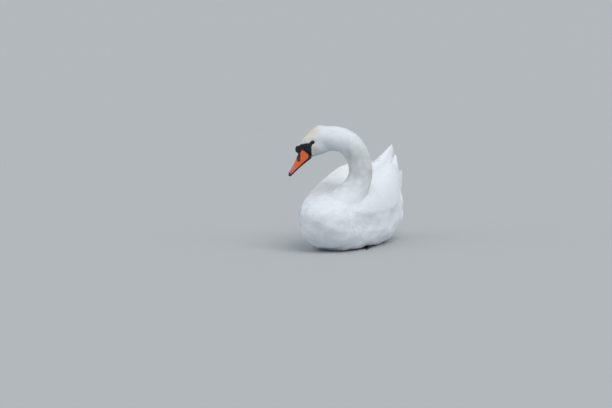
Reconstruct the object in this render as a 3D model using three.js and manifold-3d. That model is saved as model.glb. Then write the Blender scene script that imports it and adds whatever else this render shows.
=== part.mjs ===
// A mute swan at rest on its belly, life size, in millimetres.
// The bird faces -Y with its left side towards +X, and the belly's flat lies on the plane z = 0.
// The neck rises to the bird's left, arches over and brings the head down to the right of the breast.
import * as THREE from "three";
import { mergeVertices } from "three/addons/utils/BufferGeometryUtils.js";
import Module from "manifold-3d";

const wasm = await Module();
wasm.setup();

// ---------------------------------------------------------------- driving dimensions
const GAP = 0.3; // clearance between neighbouring pieces
const LEFT = 1;
const RIGHT = -1;
const SIDES = { left: LEFT, right: RIGHT };

const BREAST_Y = -270; // foremost point of the breast
const RUMP_Y = 336; // where the wedge of tail coverts ends
const TAIL_TIP_Y = 394;
const BEND_Y = -214; // the folded wing's bend, tucked into the breast
const WING_TIP_Y = 334;

const NECK_RADIUS = 37; // the fluffed neck, halfway up
const HEAD_TURN = -55; // degrees about Z, to the bird's right
const HEAD_PITCH = 41; // degrees, bill down
const GAPE_CENTRE = new THREE.Vector3(-60.5, -185, 296); // midway between the corners of the bill
const BILL_LENGTH = 90; // gape to tip
const NOSTRIL = { forward: 32, up: 20.5 };
const EYE_RADIUS = 6;
const EYE_CENTRE = new THREE.Vector3(24.5, 32, 34); // left eye, in the head's own frame

const TARSUS_RADIUS = 6.5;
const TOE_RADIUS = 5.2;
const TOE_TIP_RADIUS = 2.8;
const WEB_THICKNESS = 2.6;
const SOLE_FLAT = 0.4; // how far the toes' undersides are pressed flat by the floor

// ---------------------------------------------------------------- tools for making shapes
const degrees = THREE.MathUtils.degToRad;
const lerp = THREE.MathUtils.lerp;
const clamp = THREE.MathUtils.clamp;
const UP = new THREE.Vector3(0, 0, 1);

// Rows of [position, value, value, ...] become one smooth function that gives all the values at a position.
function through(rows) {
  const positions = rows.map((row) => row[0]);
  const values = rows.flatMap((row) => row.slice(1));
  const curve = new THREE.CubicInterpolant(positions, values, rows[0].length - 1);
  return (position) => Array.from(curve.evaluate(position));
}

// From a to b in count steps, closer together near both ends, where a shape rounds off.
function roundedSteps(a, b, count) {
  return Array.from({ length: count }, (_, i) => lerp(a, b, (1 - Math.cos((Math.PI * i) / (count - 1))) / 2));
}

// A power that keeps the sign, for superellipses.
const signedPower = (value, power) => Math.sign(value) * Math.abs(value) ** power;

// How full a shape is near its end: 0 at the end itself, 1 from `length` inwards, round in between.
const roundEnd = (distance, length) => Math.sqrt(Math.max(0, 1 - clamp(1 - distance / length, 0, 1) ** 2));

// Rings of points, all of one count, become a closed geometry; each end ring is closed by a fan.
function loft(rings) {
  const count = rings[0].length;
  const points = rings.flat();
  const faces = [];
  for (let r = 0; r < rings.length - 1; r++) {
    for (let i = 0; i < count; i++) {
      const a = r * count + i;
      const b = r * count + ((i + 1) % count);
      faces.push(a, b, b + count, a, b + count, a + count);
    }
  }
  const last = (rings.length - 1) * count;
  const centres = [rings[0], rings.at(-1)].map((ring) =>
    ring.reduce((sum, p) => sum.add(p), new THREE.Vector3()).divideScalar(count),
  );
  points.push(...centres);
  for (let i = 0; i < count; i++) {
    const next = (i + 1) % count;
    faces.push(next, i, points.length - 2);
    faces.push(last + i, last + next, points.length - 1);
  }
  return new THREE.BufferGeometry().setFromPoints(points).setIndex(faces);
}

// A closed geometry becomes a solid that can be joined and cut; one that is inside out is turned round.
function solidOf(geometry) {
  const bare = new THREE.BufferGeometry();
  bare.setAttribute("position", geometry.getAttribute("position"));
  bare.setIndex(geometry.getIndex());
  const merged = mergeVertices(bare, 1e-3);
  const make = (triVerts) =>
    new wasm.Manifold(
      new wasm.Mesh({ numProp: 3, vertProperties: merged.attributes.position.array, triVerts }),
    );
  const faces = new Uint32Array(merged.index.array);
  const solid = make(faces);
  return solid.volume() > 0 ? solid : make(faces.reverse());
}

function geometryOf(solid) {
  const { numProp, vertProperties, triVerts } = solid.getMesh();
  const positions = new Float32Array((vertProperties.length / numProp) * 3);
  for (let i = 0; i < positions.length / 3; i++) {
    positions.set(vertProperties.subarray(i * numProp, i * numProp + 3), i * 3);
  }
  const geometry = new THREE.BufferGeometry();
  geometry.setAttribute("position", new THREE.BufferAttribute(positions, 3));
  geometry.setIndex(new THREE.BufferAttribute(triVerts, 1));
  geometry.computeVertexNormals();
  return geometry;
}

// The biggest of a solid's separate bodies.
function largest(solid) {
  return solid.decompose().sort((a, b) => b.volume() - a.volume())[0];
}

// A tube of changing radius along a curve. The rings don't twist, as the curve never runs along `reference`.
function tube(curve, radiusAt, { steps, around, reference, grow = 0 }) {
  const rings = [];
  for (let i = 0; i <= steps; i++) {
    const u = i / steps;
    const centre = curve.getPoint(u);
    const along = curve.getTangent(u);
    const across = new THREE.Vector3().crossVectors(along, reference).normalize();
    const up = new THREE.Vector3().crossVectors(across, along);
    const radius = radiusAt(u) + grow;
    rings.push(
      Array.from({ length: around }, (_, k) => {
        const angle = (2 * Math.PI * k) / around;
        return centre
          .clone()
          .addScaledVector(across, radius * Math.cos(angle))
          .addScaledVector(up, radius * Math.sin(angle));
      }),
    );
  }
  return loft(rings);
}

// ---------------------------------------------------------------- trunk
// Stations along Y: half width, top, height of the widest line, bottom.
const trunkAt = through([
  [BREAST_Y, 78, 166, 114, 52],
  [-232, 84, 170, 111, 32],
  [-195, 91, 179, 107, 14],
  [-140, 101, 184, 102, 0],
  [-60, 113, 181, 100, -4],
  [30, 117, 184, 100, -4],
  [110, 106, 196, 104, -2],
  [170, 92, 202, 106, 10],
  [225, 77, 194, 108, 34],
  [268, 54, 178, 116, 62],
  [302, 38, 160, 120, 86],
  [RUMP_Y, 26, 142, 121, 103],
]);

// The section's roundness above and below its widest line: the bird's weight spreads the belly squarer.
const BACK_POWER = 0.9;
const BELLY_POWER = 0.7;

function trunkSolid(grow = 0) {
  const around = 24;
  const rings = roundedSteps(BREAST_Y + 0.5, RUMP_Y - 0.5, 19).map((y) => {
    const [half, top, middle, bottom] = trunkAt(y);
    const full = roundEnd(y - BREAST_Y, 76) * roundEnd(RUMP_Y - y, 36);
    return Array.from({ length: around }, (_, k) => {
      const angle = (2 * Math.PI * k) / around;
      const above = Math.sin(angle) > 0;
      const height = above ? top - middle : middle - bottom;
      const power = above ? BACK_POWER : BELLY_POWER;
      return new THREE.Vector3(
        (half * full + grow) * signedPower(Math.cos(angle), power),
        y,
        middle + (height * full + grow) * signedPower(Math.sin(angle), power),
      );
    });
  });
  return solidOf(loft(rings)).trimByPlane([0, 0, 1], 0);
}

// ---------------------------------------------------------------- neck
// The neck's centre line from inside the breast to inside the head.
const neckLine = new THREE.CatmullRomCurve3([
  new THREE.Vector3(4, -184, 84),
  new THREE.Vector3(20, -176, 118),
  new THREE.Vector3(41, -154, 152),
  new THREE.Vector3(60, -120, 190),
  new THREE.Vector3(71, -101, 228),
  new THREE.Vector3(72, -102, 270),
  new THREE.Vector3(60, -112, 312),
  new THREE.Vector3(37, -129, 341),
  new THREE.Vector3(6, -146, 352),
  new THREE.Vector3(-22, -158, 351.5),
  new THREE.Vector3(-42, -168, 342),
]);
const neckRadius = through([
  [0, 34],
  [0.06, 52],
  [0.12, 58],
  [0.19, 55],
  [0.29, 44],
  [0.4, NECK_RADIUS],
  [0.55, NECK_RADIUS],
  [0.75, NECK_RADIUS + 1],
  [0.9, NECK_RADIUS + 0.5],
  [1, 28],
]);
const ACROSS_ARCH = new THREE.Vector3(-0.42, 0.91, 0); // square to the arch's own plane

// Where the neck's lengths are parted, as shares of the centre line.
const NAPE = 0.86;
const ARCH = 0.62;
const COLUMN = 0.38;

function neckSolid(grow = 0) {
  const look = { steps: 22, around: 20, reference: ACROSS_ARCH, grow };
  return solidOf(tube(neckLine, (u) => neckRadius(u)[0], look));
}

// Cuts a solid square across the neck's line and gives the two sides of the cut: [headwards, tailwards].
function parted(solid, u) {
  const normal = neckLine.getTangent(u);
  const at = normal.dot(neckLine.getPoint(u));
  return [
    solid.trimByPlane(normal.toArray(), at + GAP / 2),
    solid.trimByPlane(normal.clone().negate().toArray(), GAP / 2 - at),
  ];
}

// ---------------------------------------------------------------- head, in its own frame: bill along -Y
// Stations along Y, from the bill's base backwards: half width, crown, throat.
const headAt = through([
  [0, 19, 53, -1],
  [8, 23, 57, -5],
  [20, 27.5, 59, -11],
  [33, 30.5, 60.5, -17],
  [48, 32.5, 61, -23],
  [66, 34.5, 61, -27],
  [84, 34.5, 59, -24],
  [104, 32, 54, -20],
]);

function headSolid() {
  const around = 20;
  const back = 104;
  const rings = [0.004, 0.05, 0.12, 0.22, 0.32, 0.43, 0.55, 0.68, 0.8, 0.9, 0.97, 1].map((share) => {
    const y = back * share;
    const [half, crown, throat] = headAt(y);
    const full = roundEnd(back + 1 - y, 34);
    const middle = (crown + throat) / 2;
    return Array.from({ length: around }, (_, k) => {
      const angle = (2 * Math.PI * k) / around;
      return new THREE.Vector3(
        half * full * signedPower(Math.cos(angle), 0.88),
        y,
        middle + ((crown - throat) / 2) * full * Math.sin(angle),
      );
    });
  });
  return solidOf(loft(rings));
}

// ---------------------------------------------------------------- bill, in the head's frame
// Stations from gape to tip: half width, height of the ridge above the closed edge, depth below it.
const billAt = through([
  [0, 18, 50, 4],
  [9, 17.5, 43, 4.2],
  [20, 16, 33.5, 4.4],
  [34, 14.5, 25, 4.4],
  [54, 13.2, 15.5, 4.2],
  [74, 13.4, 10, 4],
  [84, 12, 7.6, 4],
  [BILL_LENGTH, 9, 5.5, 3.5],
]);

const BILL_ARCH = 2.4; // how far the closed edge rises between gape and tip

function mandible(isUpper) {
  const arc = 12;
  const rings = [0.004, 0.08, 0.17, 0.28, 0.4, 0.54, 0.68, 0.8, 0.89, 0.95, 0.985, 1].map((share) => {
    const along = BILL_LENGTH * share;
    const [half, ridge, depth] = billAt(along);
    const full = roundEnd(BILL_LENGTH - along + 0.6, 12);
    const height = isUpper ? ridge : -depth;
    const width = isUpper ? half : half - 1.5;
    const edge = BILL_ARCH * Math.sin(Math.PI * share);
    return Array.from({ length: arc + 1 }, (_, k) => {
      const angle = (Math.PI * k) / arc;
      return new THREE.Vector3(
        width * full * signedPower(Math.cos(angle), 0.85),
        -along,
        edge + (isUpper ? GAP / 2 : -GAP / 2) + height * full * Math.sin(angle),
      );
    });
  });
  return solidOf(loft(rings));
}

// The fleshy knob on the bill's base, against the forehead.
function knobSolid(grow = 0) {
  const knob = new THREE.SphereGeometry(1, 14, 10);
  knob.scale(10 + grow, 14 + grow, 11 + grow);
  knob.rotateX(degrees(35));
  knob.translate(0, -11.5, 43.5);
  return solidOf(knob).trimByPlane([0, -1, 0], 0.05 - grow);
}

// A slot that goes through the bill from side to side.
function nostrilSolid() {
  const slot = new THREE.CylinderGeometry(1, 1, 60, 10);
  slot.scale(2, 1, 5.5);
  slot.rotateX(degrees(90));
  slot.rotateY(degrees(90));
  slot.rotateX(degrees(38));
  slot.translate(0, -NOSTRIL.forward, NOSTRIL.up);
  return solidOf(slot);
}

function eyeSolid(side, grow = 0) {
  const eye = new THREE.SphereGeometry(EYE_RADIUS + grow, 12, 8);
  eye.translate(side * EYE_CENTRE.x, EYE_CENTRE.y, EYE_CENTRE.z);
  return solidOf(eye);
}

// ---------------------------------------------------------------- wings
// Stations along Y: outermost half width, ridge height, lower edge, the ridge's distance from the middle,
// and the height of the valley between the two wings.
const wingAt = through([
  [BEND_Y, 84, 132, 116, 66, 118],
  [-175, 100, 155, 112, 67, 136],
  [-125, 114, 177, 109, 69, 156],
  [-70, 120, 197, 107, 70, 168],
  [-10, 124, 215, 107, 70, 176],
  [50, 123, 232, 112, 69, 183],
  [100, 116, 245, 121, 65, 188],
  [130, 106, 249, 129, 60, 189],
  [158, 92, 250, 141, 52, 190],
  [200, 69, 247, 157, 42, 190],
  [250, 52, 246, 176, 30, 196],
  [300, 34, 270, 200, 20, 216],
  [WING_TIP_Y, 17, 298, 262, 9, 262],
]);
const VALLEY_X = 2; // half the gap between the wings in the valley
// From here back the two wings' tips part: the left one ends lower and further forward.
const TIP_PART_Y = 190;
const TIP_RISE = { [LEFT]: -32, [RIGHT]: 0 };
const TIP_BACK = { [LEFT]: -18, [RIGHT]: 0 };

// The wing's section at one station: up the outside, over the ridge and down into the valley.
function wingRing(y, side, grow) {
  const [half, ridgeEven, lowEven, ridgeX, valleyEven] = wingAt(y);
  const parting = clamp((y - TIP_PART_Y) / (WING_TIP_Y - TIP_PART_Y), 0, 1) ** 1.5;
  const rise = TIP_RISE[side] * parting;
  const [ridge, low, valley] = [ridgeEven + rise, lowEven + rise / 2, valleyEven + rise / 2];
  const quarter = 7;
  const points = [];
  for (let k = 0; k <= quarter; k++) {
    const angle = (Math.PI / 2) * (k / quarter);
    points.push([
      ridgeX + (half - ridgeX) * Math.cos(angle) ** 0.8,
      low + (ridge - low) * Math.sin(angle) ** 0.85,
    ]);
  }
  for (let k = 1; k <= quarter; k++) {
    const angle = (Math.PI / 2) * (k / quarter);
    points.push([
      ridgeX - (ridgeX - VALLEY_X) * Math.sin(angle) ** 0.9,
      valley + (ridge - valley) * Math.cos(angle) ** 1.1,
    ]);
  }
  points.push([lerp(VALLEY_X, half, 0.5), lerp(valley, low, 0.5) - 6]);
  const middle = [(half + VALLEY_X) / 2, (ridge + low) / 2];
  return points.map(([x, z]) => {
    const away = new THREE.Vector2(x - middle[0], z - middle[1]).normalize().multiplyScalar(grow);
    return new THREE.Vector3(side * (x + away.x), y + TIP_BACK[side] * parting, z + away.y);
  });
}

// The folded flight feathers, a narrow blade that comes out from under the wing towards the tail.
// Stations along Y: distance from the middle, lower edge, upper edge, thickness.
const primariesAt = through([
  [140, 80, 134, 180, 10],
  [200, 56, 138, 196, 12],
  [260, 43, 143, 208, 12],
  [305, 32, 148, 214, 10],
  [340, 20, 152, 205, 6],
]);

function primariesSolid(side, grow) {
  const around = 12;
  const rings = [140, 170, 200, 230, 260, 285, 305, 322, 333, 340].map((y) => {
    const [x, low, high, thickness] = primariesAt(y);
    const full = roundEnd(343 - y, 26);
    return Array.from({ length: around }, (_, k) => {
      const angle = (2 * Math.PI * k) / around;
      return new THREE.Vector3(
        side * (x + (thickness / 2 + grow) * Math.cos(angle)),
        y + (y > 300 ? grow : -grow),
        (low + high) / 2 + (((high - low) / 2) * full + grow) * Math.sin(angle),
      );
    });
  });
  return solidOf(loft(rings));
}

function wingSolid(side, grow = 0) {
  const steps = roundedSteps(BEND_Y - grow, WING_TIP_Y + grow, 18);
  const shell = solidOf(loft(steps.map((y) => wingRing(y, side, grow))));
  return shell.add(primariesSolid(side, grow));
}

// ---------------------------------------------------------------- tail
// A long wedge of feathers. Stations along Y: half width, height of the middle, thickness.
const tailAt = through([
  [205, 34, 150, 26],
  [250, 43, 143, 22],
  [300, 38, 130, 12],
  [345, 25, 117, 7],
  [TAIL_TIP_Y, 5, 107, 3],
]);
const TAIL_DROOP = 9; // how far the outer feathers hang below the middle pair

function tailSolid(grow = 0) {
  const across = 8;
  const rings = [205, 250, 275, 300, 322, 345, 362, 377, TAIL_TIP_Y].map((y) => {
    const [half, height, thickness] = tailAt(y);
    const surface = (up) =>
      Array.from({ length: across + 1 }, (_, k) => {
        const share = -1 + (2 * k) / across;
        const edge = Math.sqrt(1 - 0.9 * share ** 2);
        return new THREE.Vector3(
          share * (half + grow),
          y + grow * Math.sign(y - 300),
          height - TAIL_DROOP * share ** 2 + up * (edge * (thickness / 2) + grow),
        );
      });
    return [...surface(1), ...surface(-1).reverse()];
  });
  return solidOf(loft(rings));
}

// ---------------------------------------------------------------- legs and feet, folded under the flanks
const ANKLE = new THREE.Vector3(54, 128, 10);
const TOE_ROOT = new THREE.Vector3(57, 34, TOE_RADIUS - SOLE_FLAT);
// Inner, middle and outer toe: how far each turns outwards in degrees, and its length.
const TOES = [
  { spread: -13, length: 112 },
  { spread: 2, length: 140 },
  { spread: 15, length: 128 },
];
const WEB_REACH = 0.86; // the share of each toe that the web runs along
const WEB_HOLLOW = 0.7; // where the web's free edge is drawn in to

function legSolid(side, grow = 0) {
  const shin = new THREE.LineCurve3(
    new THREE.Vector3(side * ANKLE.x, ANKLE.y, ANKLE.z),
    new THREE.Vector3(side * TOE_ROOT.x, TOE_ROOT.y + 4, TOE_ROOT.z + 3),
  );
  const radius = through([
    [0, TARSUS_RADIUS + 2.5],
    [0.15, TARSUS_RADIUS],
    [0.85, TARSUS_RADIUS - 0.8],
    [1, TARSUS_RADIUS],
  ]);
  return solidOf(tube(shin, (u) => radius(u)[0], { steps: 6, around: 10, reference: UP, grow }));
}

// The skin between two neighbouring toes, with a hollow free edge.
function webSolid(root, tip, neighbour, grow) {
  const end = root.clone().lerp(tip, WEB_REACH);
  const otherEnd = root.clone().lerp(neighbour, WEB_REACH);
  const hollow = root.clone().lerp(tip.clone().lerp(neighbour, 0.5), WEB_HOLLOW);
  const shape = new THREE.Shape();
  shape.moveTo(root.x, root.y);
  shape.lineTo(end.x, end.y);
  shape.quadraticCurveTo(hollow.x, hollow.y, otherEnd.x, otherEnd.y);
  shape.closePath();
  const depth = WEB_THICKNESS + 2 * grow;
  const web = new THREE.ExtrudeGeometry(shape, { depth, bevelEnabled: false, curveSegments: 3 });
  return solidOf(web.translate(0, 0, 1 - grow));
}

// A toe with two knuckles, tapering to a round tip.
function toeSolid(root, tip, grow) {
  const knuckled = (u) => {
    const taper = lerp(TOE_RADIUS, TOE_TIP_RADIUS, u);
    return taper * (1 + 0.08 * Math.cos(u * 4 * Math.PI)) * roundEnd(1.02 - u, 0.1);
  };
  const line = new THREE.LineCurve3(root, tip);
  return solidOf(tube(line, knuckled, { steps: 4, around: 8, reference: UP, grow }));
}

function footSolid(side, grow = 0) {
  const root = new THREE.Vector3(side * TOE_ROOT.x, TOE_ROOT.y, TOE_ROOT.z);
  const tips = TOES.map(({ spread, length }) => {
    const turn = degrees(spread);
    const x = root.x + side * length * Math.sin(turn);
    return new THREE.Vector3(x, root.y - length * Math.cos(turn), TOE_TIP_RADIUS - SOLE_FLAT);
  });
  const webs = tips.slice(1).map((tip, i) => webSolid(root, tip, tips[i], grow));
  const toes = tips.map((tip) => toeSolid(root, tip, grow));
  return [...webs, ...toes].reduce((whole, part) => whole.add(part)).trimByPlane([0, 0, 1], 0);
}

// ---------------------------------------------------------------- assembly
const materials = {
  plumage: new THREE.MeshStandardMaterial({ color: 0xf1f1ee, roughness: 0.85 }),
  bill_orange: new THREE.MeshStandardMaterial({ color: 0xe2541e, roughness: 0.45 }),
  bill_black: new THREE.MeshStandardMaterial({ color: 0x17161a, roughness: 0.5 }),
  eye: new THREE.MeshStandardMaterial({ color: 0x120c08, roughness: 0.08 }),
  foot_skin: new THREE.MeshStandardMaterial({ color: 0x2b2a2c, roughness: 0.7 }),
};

function piece(name, solid, material) {
  const mesh = new THREE.Mesh(geometryOf(solid), materials[material]);
  mesh.name = name;
  return mesh;
}

const swan = new THREE.Group();

const headGroup = new THREE.Group();
headGroup.position.copy(GAPE_CENTRE);
headGroup.rotation.set(degrees(HEAD_PITCH), 0, degrees(HEAD_TURN), "ZXY");
headGroup.updateMatrixWorld(true);
const toWorld = headGroup.matrixWorld;
const toHead = toWorld.clone().invert();

// The head and the neck are one shape, parted twice up the neck and once more at the nape.
const neckWithHead = neckSolid().add(headSolid().transform(toWorld.elements));
const [aboveColumn, neckLower] = parted(neckWithHead, COLUMN);
const [aboveArch, neckMiddle] = parted(aboveColumn, ARCH);
const [headAhead, neckUpper] = parted(aboveArch, NAPE);
const eyeSpace = eyeSolid(LEFT, GAP).add(eyeSolid(RIGHT, GAP));
const head = headAhead.transform(toHead.elements).subtract(eyeSpace);
headGroup.add(piece("head", head, "plumage"));
const billUpper = mandible(true).subtract(knobSolid(GAP)).subtract(nostrilSolid());
headGroup.add(piece("bill_upper", billUpper, "bill_orange"));
headGroup.add(piece("bill_knob", knobSolid(), "bill_black"));
headGroup.add(piece("bill_lower", mandible(false), "bill_black"));
for (const [side, sign] of Object.entries(SIDES)) {
  headGroup.add(piece(`eye_${side}`, eyeSolid(sign), "eye"));
}
swan.add(headGroup);

swan.add(piece("neck_upper", neckUpper, "plumage"));
swan.add(piece("neck_middle", neckMiddle, "plumage"));
swan.add(piece("neck_lower", neckLower, "plumage"));

const neckSpace = neckSolid(GAP);
const tailSpace = tailSolid(GAP);
const trunkSpace = trunkSolid(GAP);
let trunk = trunkSolid().subtract(neckSpace).subtract(tailSpace);
for (const [side, sign] of Object.entries(SIDES)) {
  const wing = wingSolid(sign).subtract(trunkSpace).subtract(neckSpace).subtract(tailSpace);
  swan.add(piece(`wing_${side}`, largest(wing), "plumage"));
  const leg = legSolid(sign).subtract(footSolid(sign, GAP));
  swan.add(piece(`leg_${side}`, leg, "foot_skin"));
  swan.add(piece(`foot_${side}`, footSolid(sign), "foot_skin"));
  trunk = trunk.subtract(legSolid(sign, GAP)).subtract(footSolid(sign, GAP));
}
swan.add(piece("trunk", trunk, "plumage"));
swan.add(piece("tail", tailSolid(), "plumage"));

export default swan;
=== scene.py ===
import math

import bmesh
import bpy
import numpy as np
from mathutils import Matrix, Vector, noise
from mathutils.bvhtree import BVHTree


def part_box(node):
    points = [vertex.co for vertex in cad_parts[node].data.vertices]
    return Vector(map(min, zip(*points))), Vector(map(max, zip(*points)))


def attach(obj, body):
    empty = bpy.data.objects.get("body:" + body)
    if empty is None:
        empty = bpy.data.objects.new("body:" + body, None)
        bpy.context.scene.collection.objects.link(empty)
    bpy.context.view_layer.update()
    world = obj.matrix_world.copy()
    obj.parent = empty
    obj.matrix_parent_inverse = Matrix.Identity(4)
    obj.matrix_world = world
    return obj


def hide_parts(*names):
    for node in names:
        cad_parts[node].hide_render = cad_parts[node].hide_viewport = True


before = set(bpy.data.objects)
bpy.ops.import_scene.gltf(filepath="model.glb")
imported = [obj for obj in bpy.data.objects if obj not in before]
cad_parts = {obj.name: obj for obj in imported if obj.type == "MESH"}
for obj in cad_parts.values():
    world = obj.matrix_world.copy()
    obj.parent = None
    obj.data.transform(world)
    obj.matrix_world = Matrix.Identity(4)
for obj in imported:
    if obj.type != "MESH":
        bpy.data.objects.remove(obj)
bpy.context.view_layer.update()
rng = np.random.default_rng(17)


# -------------------- camera, floor and lamps
# A long lens eleven metres off, low and to the left of the bird's breast, so that the swan sits
# small in the frame. The floor is one plain pale sheet that reaches past the top of the frame.
CAMERA_AIM = Vector((-0.033, -0.278, 0.158))
CAMERA_DISTANCE = 11.067
CAMERA_AZIMUTH = math.radians(25.0)
CAMERA_ELEVATION = math.radians(6.3)
LENS = 210.0
SENSOR_WIDTH = 36.0
FLOOR_REACH = 90.0
FLOOR_COLOUR = (0.47, 0.49, 0.50)
SKY_COLOUR = (0.90, 0.95, 1.0)
SKY_STRENGTH = 0.62
# Name, strength, spread, tilt and turn in degrees, colour.
LAMPS = [
    ("overhead_lamp", 1.35, 50.0, 38.0, 62.0, (1.0, 0.99, 0.97)),
    ("side_lamp", 0.35, 70.0, 65.0, -40.0, (0.93, 0.96, 1.0)),
]


def placed(name, data):
    """A new object in the scene."""
    made = bpy.data.objects.new(name, data)
    bpy.context.scene.collection.objects.link(made)
    return made


lens = bpy.data.cameras.new("long_lens")
lens.lens = LENS
lens.sensor_width = SENSOR_WIDTH
lens.clip_end = 300.0
camera = placed("camera", lens)
camera.rotation_euler = (math.pi / 2 - CAMERA_ELEVATION, 0.0, CAMERA_AZIMUTH)
away = camera.rotation_euler.to_matrix() @ Vector((0.0, 0.0, CAMERA_DISTANCE))
camera.location = CAMERA_AIM + away
bpy.context.scene.camera = camera

floor_mesh = bpy.data.meshes.new("floor")
floor_corners = [(x * FLOOR_REACH, y * FLOOR_REACH, 0.0) for x, y in ((-1, -1), (1, -1), (1, 1), (-1, 1))]
floor_mesh.from_pydata(floor_corners, [], [(0, 1, 2, 3)])
floor = placed("floor", floor_mesh)
floor_paint = bpy.data.materials.new("pale_floor")
floor_paint.use_nodes = True
floor_surface = floor_paint.node_tree.nodes["Principled BSDF"].inputs
floor_surface["Base Color"].default_value = (*FLOOR_COLOUR, 1.0)
floor_surface["Roughness"].default_value = 0.9
floor_surface["Specular IOR Level"].default_value = 0.1
floor_mesh.materials.append(floor_paint)

sky = bpy.data.worlds.new("studio")
bpy.context.scene.world = sky
sky.use_nodes = True
sky.node_tree.nodes["Background"].inputs["Color"].default_value = (*SKY_COLOUR, 1.0)
sky.node_tree.nodes["Background"].inputs["Strength"].default_value = SKY_STRENGTH

for name, strength, spread, tilt, turn, colour in LAMPS:
    light = bpy.data.lights.new(name, "SUN")
    light.energy = strength
    light.angle = math.radians(spread)
    light.color = colour
    placed(name, light).rotation_euler = (math.radians(tilt), 0.0, math.radians(turn))

bpy.context.scene.view_settings.view_transform = "Standard"


# -------------------- skin
# The bird's own body under the feathers: one unbroken skin from the bill's base to the tail, plucked
# white, bare and black only on the lores, with the eyelids drawn up round the eyes. It lies inside
# the outline by the depth of the coat, and everything else on the bird is rooted in it.
FLESH = ["trunk", "neck_lower", "neck_middle", "neck_upper", "head", "wing_left", "wing_right"]
WINGS_FROM = FLESH.index("wing_left")
# How deep the coat is over each part, how far apart its feathers stand and how long they are.
COAT = {
    "head": (0.0030, 0.0015, 0.0085),
    "neck_upper": (0.0055, 0.0022, 0.0150),
    "neck_middle": (0.0060, 0.0023, 0.0160),
    "neck_lower": (0.0075, 0.0036, 0.0200),
    "trunk": (0.0110, 0.0060, 0.0300),
    "wing_left": (0.0090, 0.0060, 0.0300),
    "wing_right": (0.0090, 0.0060, 0.0300),
}
GROWTH = 0.0005  # closes the thin gaps between the solids
OUTLINE_VOXEL = 0.0034
SKIN_VOXEL = 0.0031
HEAD_TURN = math.radians(-55.0)  # to the bird's right
HEAD_PITCH = math.radians(41.0)  # bill down
EYE_BEHIND_GAPE = 0.032
EYE_ABOVE_GAPE = 0.034
# A warm buff, the crown's stain; the same colour is painted inside the raised wing as a glow of warm light.
BUFF_AND_GLOW = (0.80, 0.60, 0.40)
WING_GLOW = 0.22  # how strong it is inside the raised wing
STAIN_WIDTH = 0.016
DOWN_WHITE = (0.80, 0.80, 0.79)
BLACK_SKIN = (0.012, 0.012, 0.014)
WORN_SKIN = (0.028, 0.026, 0.027)


def middle(name):
    """The middle of a solid's box."""
    low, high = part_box(name)
    return np.array((low + high) / 2)


def unit(vectors):
    return vectors / np.maximum(np.linalg.norm(vectors, axis=-1, keepdims=True), 1e-12)


def smooth(values, start, end):
    """Each value's way from start to end, as a smooth step from 0 to 1."""
    share = np.clip((values - start) / (end - start), 0.0, 1.0)
    return share * share * (3 - 2 * share)


# The head's own axes: to its left, forward along the bill, and up through the crown.
leftward = np.array((math.cos(HEAD_TURN), math.sin(HEAD_TURN), 0.0))
level = math.cos(HEAD_PITCH)
backward = np.array((-leftward[1] * level, leftward[0] * level, math.sin(HEAD_PITCH)))
forward = -backward
crownward = np.cross(leftward, backward)
# Each side's name, which way it lies from the bird's middle, and the middle of its eye.
SIDES = [(name, way, middle("eye_" + name)) for name, way in (("left", 1.0), ("right", -1.0))]
eye_radius = float(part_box("eye_left")[1].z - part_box("eye_left")[0].z) / 2
between_eyes = (middle("eye_left") + middle("eye_right")) / 2
gape = between_eyes + EYE_BEHIND_GAPE * forward - EYE_ABOVE_GAPE * crownward


def in_head(points):
    """Places in the head's own axes, from the gape, in millimetres: left, forward, up."""
    return (points - gape) @ np.stack([leftward, forward, crownward], 1) * 1000.0


def apart(points, place):
    return np.linalg.norm(points - place, axis=1)


# The corners of the bare black skin seen from the side, forward and up from the gape in millimetres.
LORES = np.array([
    (40, -3), (-3, -3), (-7, 6), (-13, 16), (-19, 24), (-25, 28), (-33, 29), (-38.5, 33), (-38, 38),
    (-32, 40.5), (-24, 41), (-15, 45.5), (-8, 50), (-2, 52.2), (6, 53.5), (11, 56), (14, 60), (40, 60),
])
FACE_REACH = 0.09
FAR_FROM_FACE = 50.0


def outside(corners, places):
    """How far each place lies outside a polygon; inside it the distance is negative."""
    nearest = np.full(len(places), 1e9)
    within = np.zeros(len(places), bool)
    for a, b in zip(corners, np.roll(corners, -1, 0)):
        edge = b - a
        share = np.clip(((places - a) @ edge) / (edge @ edge), 0, 1)
        nearest = np.minimum(nearest, np.linalg.norm(places - a - share[:, None] * edge, axis=1))
        crosses = (a[1] > places[:, 1]) != (b[1] > places[:, 1])
        rise = edge[1] if edge[1] != 0 else 1e-9
        within ^= crosses & (places[:, 0] < a[0] + (places[:, 1] - a[1]) * edge[0] / rise)
    return np.where(within, -nearest, nearest)


def off_lores(points):
    """Millimetres from the edge of the bare black skin, negative on it."""
    distance = outside(LORES, in_head(points)[:, 1:])
    return np.where(apart(points, between_eyes) > FACE_REACH, FAR_FROM_FACE, distance)


def noise_at(points, width):
    """Soft random values around 0, in swells of about the given width."""
    return np.array([noise.noise(point) for point in (points / width).tolist()])


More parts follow.
